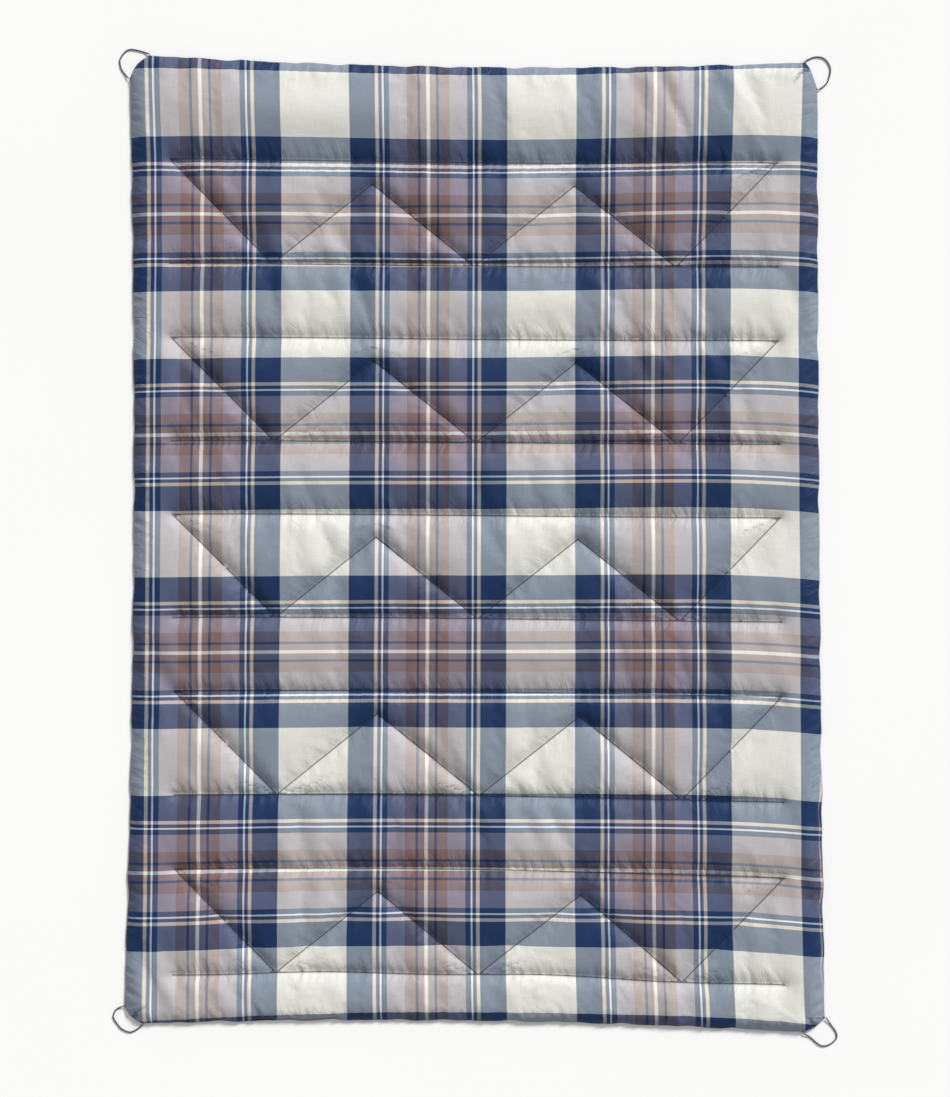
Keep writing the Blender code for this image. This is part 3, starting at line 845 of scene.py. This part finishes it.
def stitched_thread(name, line, height, side):
    """One thread of a lockstitch along a line in plan. It rises between holes and dips at each."""
    line = np.array(line, float)
    legs = np.hypot(*np.diff(line, axis=0).T)
    along = np.concatenate([[0], np.cumsum(legs)])
    stitches = round((along[-1] - 2 * THREAD_END_GAP) / STITCH_LENGTH)
    s = np.linspace(THREAD_END_GAP, along[-1] - THREAD_END_GAP, stitches * RINGS_PER_STITCH + 1)
    x, y = laid(np.interp(s, along, line[:, 0]), np.interp(s, along, line[:, 1]))
    phase = np.arange(len(s)) % RINGS_PER_STITCH / RINGS_PER_STITCH
    arch = np.sin(phase * math.pi) ** 0.5
    z = height + side * (THREAD_RADIUS * THREAD_STAND - STITCH_DIP * (1 - arch))
    across = np.stack([-np.gradient(y), np.gradient(x), 0 * x], 1)
    return tube(name, np.stack([x, y, z], 1), across, THREAD_RADIUS)


def spun_thread(name, dark, light):
    """Spun polyester thread: matt and faintly hairy, its two plies turning once in 0.7 mm, with painted
    light on each ply's crown and painted shade in the groove between.
    """
    material = bpy.data.materials.new(name)
    material.use_nodes = True
    tree = material.node_tree
    shader = tree.nodes["Principled BSDF"]
    place = add_node(tree, "ShaderNodeTexCoord")
    slant = add_node(
        tree, "ShaderNodeTexWave",
        {"Scale": PLY_SCALE, "Distortion": 1.5, "Detail": 1.0, "bands_direction": "DIAGONAL"},
        Vector=place.outputs["Object"],
    )
    # Painted light and shade: the tone runs from the dark colour in the grooves of the twist to the light
    # colour on the plies' crowns.
    tone = add_node(tree, "ShaderNodeValToRGB", {}, Fac=slant.outputs["Fac"])
    tone.color_ramp.elements[0].color = linear(dark)
    tone.color_ramp.elements[1].color = linear(light)
    tree.links.new(tone.outputs[0], shader.inputs["Base Color"])
    bump = add_node(
        tree, "ShaderNodeBump", {"Strength": 0.4, "Distance": 0.0001}, Height=slant.outputs["Fac"],
    )
    tree.links.new(bump.outputs[0], shader.inputs["Normal"])
    shader.inputs["Roughness"].default_value = 0.65
    shader.inputs["Sheen Weight"].default_value = 0.15
    return material


quilting_thread = spun_thread("spun_polyester_quilting_thread", "#141B2C", "#2A3550")
names = [f"row_{number:02d}" for number in range(1, ROWS + 1)]
names += [f"zigzag_{number}" for number in range(1, PAIRS + 1)]
for name, line in zip(names, quilt_lines):
    for kind, height, side in (("needle", STITCH_Z, 1), ("bobbin", BACK_LIFT, -1)):
        thread = stitched_thread(f"{name}_{kind}_stitches", line, height, side)
        thread.data.materials.append(quilting_thread)
        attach(thread, "blanket")
        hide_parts(f"{name}_{kind}_thread")


# ---- Edge seam. One closed line of spun polyester thread, 7 mm inside the edge, hidden between
# the panels once the blanket is turned. Its shape is the frame's own, in a better finish.
seam_thread = spun_thread("spun_polyester_seam_thread", "#161D30", "#303C58")
seam = bpy.data.objects["edge_seam_thread"]
seam.data.materials.clear()
seam.data.materials.append(seam_thread)


# ---- Elastic loops. Round braided elastic cord, 2.5 mm, dark slate, one at each corner. Its two
# ends go into the edge seam 40 to 50 mm apart, pinched there by the thread, and it lies loose on
# the floor between them.
CORD_RADIUS = 0.00125
CORD_STEP = 0.004
CORD_EXIT_Z = 0.0045
CORD_FLOOR_Z = 0.0016
CORD_END_GAP = 0.0016
CORD_PINCH = 0.4
BRAID_SCALE = 260.0
ROUTE_STEPS = 12

# Each loop's length, and its route on the floor from the end side to the long side.
LOOPS = {
    "top_left": (0.1091, [(-0.6090, 0.9082), (-0.6283, 0.9132), (-0.6405, 0.9130), (-0.6494, 0.9056),
                          (-0.6553, 0.8960), (-0.6558, 0.8874), (-0.6527, 0.8769), (-0.6462, 0.8673)]),
    "top_right": (0.1108, [(0.6198, 0.8954), (0.6283, 0.8991), (0.6357, 0.9000), (0.6453, 0.8984),
                           (0.6527, 0.8928), (0.6580, 0.8843), (0.6599, 0.8758), (0.6580, 0.8641),
                           (0.6543, 0.8534), (0.6475, 0.8455)]),
    "bottom_right": (0.1215, [(0.6220, -0.9150), (0.6325, -0.9241), (0.6399, -0.9298), (0.6484, -0.9315),
                              (0.6580, -0.9289), (0.6666, -0.9226), (0.6718, -0.9150), (0.6697, -0.9050),
                              (0.6612, -0.8928)]),
    "bottom_left": (0.1053, [(-0.6190, -0.8969), (-0.6275, -0.9026), (-0.6383, -0.9058), (-0.6531, -0.8995),
                             (-0.6593, -0.8921), (-0.6658, -0.8836), (-0.6682, -0.8767), (-0.6647, -0.8665),
                             (-0.6584, -0.8612)]),
}


def smooth_route(points, step):
    """Evenly spaced points on a smooth curve through the given ones."""
    points = np.array(points)
    padded = np.vstack([2 * points[0] - points[1], points, 2 * points[-1] - points[-2]])
    fine = []
    for a, b, c, d in zip(padded, padded[1:], padded[2:], padded[3:]):
        for t in np.arange(ROUTE_STEPS) / ROUTE_STEPS:
            fine.append((2 * b + (c - a) * t + (2 * a - 5 * b + 4 * c - d) * t**2
                         + (3 * b - a - 3 * c + d) * t**3) / 2)
    fine = np.array(fine + [points[-1]])
    along = np.concatenate([[0], np.cumsum(np.linalg.norm(np.diff(fine, axis=0), axis=1))])
    target = np.linspace(0, along[-1], round(along[-1] / step) + 1)
    return np.stack([np.interp(target, along, fine[:, k]) for k in range(3)], 1)


def braided_elastic():
    """Braided polyester over rubber: matt dark slate, in diamonds, with painted light on their crowns and
    painted shade in the hollows between.

    The real diamonds, about 1.2 mm, would not show, so they are drawn 2.4 mm across.
    """
    material = bpy.data.materials.new("braided_elastic_cord")
    material.use_nodes = True
    tree = material.node_tree
    shader = tree.nodes["Principled BSDF"]
    place = add_node(tree, "ShaderNodeTexCoord")
    strands = {"Scale": BRAID_SCALE, "Distortion": 0.4, "bands_direction": "DIAGONAL"}
    left = add_node(tree, "ShaderNodeTexWave", strands, Vector=place.outputs["Object"])
    mirrored = add_node(tree, "ShaderNodeMapping", {"Scale": (-1, 1, 1)}, Vector=place.outputs["Object"])
    right = add_node(tree, "ShaderNodeTexWave", strands, Vector=mirrored.outputs[0])
    braid = add_node(
        tree, "ShaderNodeMath", {"operation": "MULTIPLY"}, _0=left.outputs["Fac"], _1=right.outputs["Fac"],
    )
    # Painted light and shade: the tone runs from dark slate in the braid's hollows to a lighter slate on
    # its crowns.
    tone = add_node(tree, "ShaderNodeValToRGB", {}, Fac=braid.outputs[0])
    tone.color_ramp.elements[0].color = linear("#1B2436")
    tone.color_ramp.elements[1].color = linear("#46536C")
    tree.links.new(tone.outputs[0], shader.inputs["Base Color"])
    bump = add_node(tree, "ShaderNodeBump", {"Strength": 0.5, "Distance": 0.0002}, Height=braid.outputs[0])
    tree.links.new(bump.outputs[0], shader.inputs["Normal"])
    shader.inputs["Roughness"].default_value = 0.6
    shader.inputs["Sheen Weight"].default_value = 0.2
    return material


elastic = braided_elastic()
for corner, (length, middle) in LOOPS.items():
    end_x, end_y = CORNERS[corner]["end"]
    side_x, side_y = CORNERS[corner]["side"]
    leave = (end_x, end_y + math.copysign(CORD_END_GAP, end_y), CORD_EXIT_Z)
    enter = (side_x + math.copysign(CORD_END_GAP, side_x), side_y, CORD_EXIT_Z)
    route = smooth_route([leave, *[(x, y, CORD_FLOOR_Z) for x, y in middle], enter], CORD_STEP)
    curve = bpy.data.curves.new(f"elastic_loop_{corner}", "CURVE")
    curve.dimensions = "3D"
    curve.bevel_depth = CORD_RADIUS
    curve.bevel_resolution = 3
    curve.use_fill_caps = True
    spline = curve.splines.new("POLY")
    spline.points.add(len(route) - 1)
    for station, point in zip(spline.points, route):
        station.co = (*point, 1.0)
    spline.points[0].radius = spline.points[-1].radius = CORD_PINCH
    spline.use_smooth = True
    loop = bpy.data.objects.new(f"elastic_loop_{corner}", curve)
    bpy.context.scene.collection.objects.link(loop)
    curve.materials.append(elastic)
    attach(loop, f"{corner}_loop")
    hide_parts(f"corner_loop_{corner}")


# ---- Bar tacks. Where each cord end goes into the edge, a 6 mm bar of seam thread wound back and
# forth inside the seam holds it, and the last turns whip the cord end into a small dark knot.
BAR_LENGTH = 0.0060
BAR_HALF_DEPTH = 0.0017
BAR_HALF_HEIGHT = 0.00045
BAR_TURNS = 15
BAR_INSET = 0.0024
KNOT_START = -0.0020
KNOT_END = 0.0004
KNOT_RADIUS = 0.0009
KNOT_TURNS = 7
TURN_POINTS = 12
TACK_THREAD = 0.00028

for corner in CORNERS:
    for cut in ("end", "side"):
        spot = np.array((*CORNERS[corner][cut], CORD_EXIT_Z))
        axis = 1 if cut == "end" else 0
        outward = np.zeros(3)
        outward[axis] = math.copysign(1, spot[axis])
        beside = np.array([abs(outward[1]), abs(outward[0]), 0.0])
        upright = np.array([0, 0, 1.0])
        turn = np.arange(BAR_TURNS * TURN_POINTS) / TURN_POINTS
        wave, lift_wave = np.cos(turn * 2 * math.pi)[:, None], np.sin(turn * 2 * math.pi)[:, None]
        bar = spot - outward * BAR_INSET + (turn[:, None] / BAR_TURNS - 0.5) * BAR_LENGTH * beside
        bar_side = wave * outward + 0.5 * lift_wave * upright
        bar = bar + BAR_HALF_DEPTH * wave * outward + BAR_HALF_HEIGHT * lift_wave * upright
        turn = np.arange(KNOT_TURNS * TURN_POINTS) / TURN_POINTS
        wave, lift_wave = np.cos(turn * 2 * math.pi)[:, None], np.sin(turn * 2 * math.pi)[:, None]
        knot_side = wave * beside + lift_wave * upright
        reach_along = KNOT_START + (KNOT_END - KNOT_START) * turn[:, None] / KNOT_TURNS
        knot = spot + reach_along * outward + KNOT_RADIUS * knot_side
        wound, wound_side = np.vstack([bar, knot]), np.vstack([bar_side, knot_side])
        tack = tube(f"bar_tack_{corner}_{cut}", wound, wound_side, TACK_THREAD)
        tack.data.materials.append(seam_thread)
        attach(tack, "blanket")
        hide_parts(f"loop_tack_{corner}_{cut}")


# ---- Where it lies: a plain pale floor under a large soft light from the head end, with a soft
# fill all round, seen from straight above.
FLOOR_HALF = 30.0
FLOOR_POINTS = 5
FLOOR_GAP = 0.0002
floor_places = np.linspace(-FLOOR_HALF, FLOOR_HALF, FLOOR_POINTS)
floor_x, floor_y = np.meshgrid(floor_places, floor_places)
floor_z = np.full(floor_x.size, cad_low[2] - FLOOR_GAP)
floor_index = np.arange(floor_x.size).reshape(floor_x.shape)
floor_faces = np.stack([
    floor_index[:-1, :-1].ravel(), floor_index[:-1, 1:].ravel(),
    floor_index[1:, 1:].ravel(), floor_index[1:, :-1].ravel(),
], 1)
floor = build_mesh("floor", np.stack([floor_x.ravel(), floor_y.ravel(), floor_z], 1), floor_faces)

# Matt white paper, with a very faint grain, so the floor reads as plain and nearly white.
paper = bpy.data.materials.new("matt_white_paper")
paper.use_nodes = True
grain = add_node(paper.node_tree, "ShaderNodeTexNoise", {"Scale": 60.0, "Detail": 4.0})
paper_tone = add_node(paper.node_tree, "ShaderNodeValToRGB", {}, Fac=grain.outputs["Fac"])
paper_tone.color_ramp.elements[0].color = linear("#F6F6F5")
paper_tone.color_ramp.elements[1].color = linear("#FAFAF9")
paper_shader = paper.node_tree.nodes["Principled BSDF"]
paper.node_tree.links.new(paper_tone.outputs[0], paper_shader.inputs["Base Color"])
paper_shader.inputs["Roughness"].default_value = 0.9
paper_shader.inputs["Specular IOR Level"].default_value = 0.1
floor.data.materials.append(paper)
floor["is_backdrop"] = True


# The key is a broad soft lamp far off past the head end, a little to the right.
KEY_FROM = (0.50, 0.80, 0.62)
KEY_STRENGTH = 3.35
KEY_SOFTNESS = 12
FILL_STRENGTH = 0.44
lamp = bpy.data.lights.new("key_light", "SUN")
lamp.energy = KEY_STRENGTH
lamp.angle = math.radians(KEY_SOFTNESS)
key_light = bpy.data.objects.new("key_light", lamp)
key_light.rotation_mode = "QUATERNION"
key_light.rotation_quaternion = (-Vector(KEY_FROM)).to_track_quat("-Z", "Y")
key_light.location = Vector(KEY_FROM) * 4
bpy.context.scene.collection.objects.link(key_light)
world = bpy.data.worlds.new("studio")
world.use_nodes = True
surround = world.node_tree.nodes["Background"]
surround.inputs["Color"].default_value = linear("#FFFFFF")
surround.inputs["Strength"].default_value = FILL_STRENGTH
bpy.context.scene.world = world
bpy.context.scene.view_settings.view_transform = "Standard"

# The camera looks straight down and takes in 2.03 m of floor from head to foot.
CAMERA_LENS = 85
CAMERA_SENSOR = 36
CAMERA_PLACE = (0.0018, -0.0102)
FRAME_HEIGHT = 2.0295
FOCUS_Z = 0.006
camera_data = bpy.data.cameras.new("camera")
camera_data.lens = CAMERA_LENS
camera_data.sensor_width = CAMERA_SENSOR
camera_data.clip_end = 50
camera = bpy.data.objects.new("camera", camera_data)
camera.location = (*CAMERA_PLACE, FOCUS_Z + FRAME_HEIGHT * CAMERA_LENS / CAMERA_SENSOR)
bpy.context.scene.collection.objects.link(camera)
bpy.context.scene.camera = camera

low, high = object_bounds()
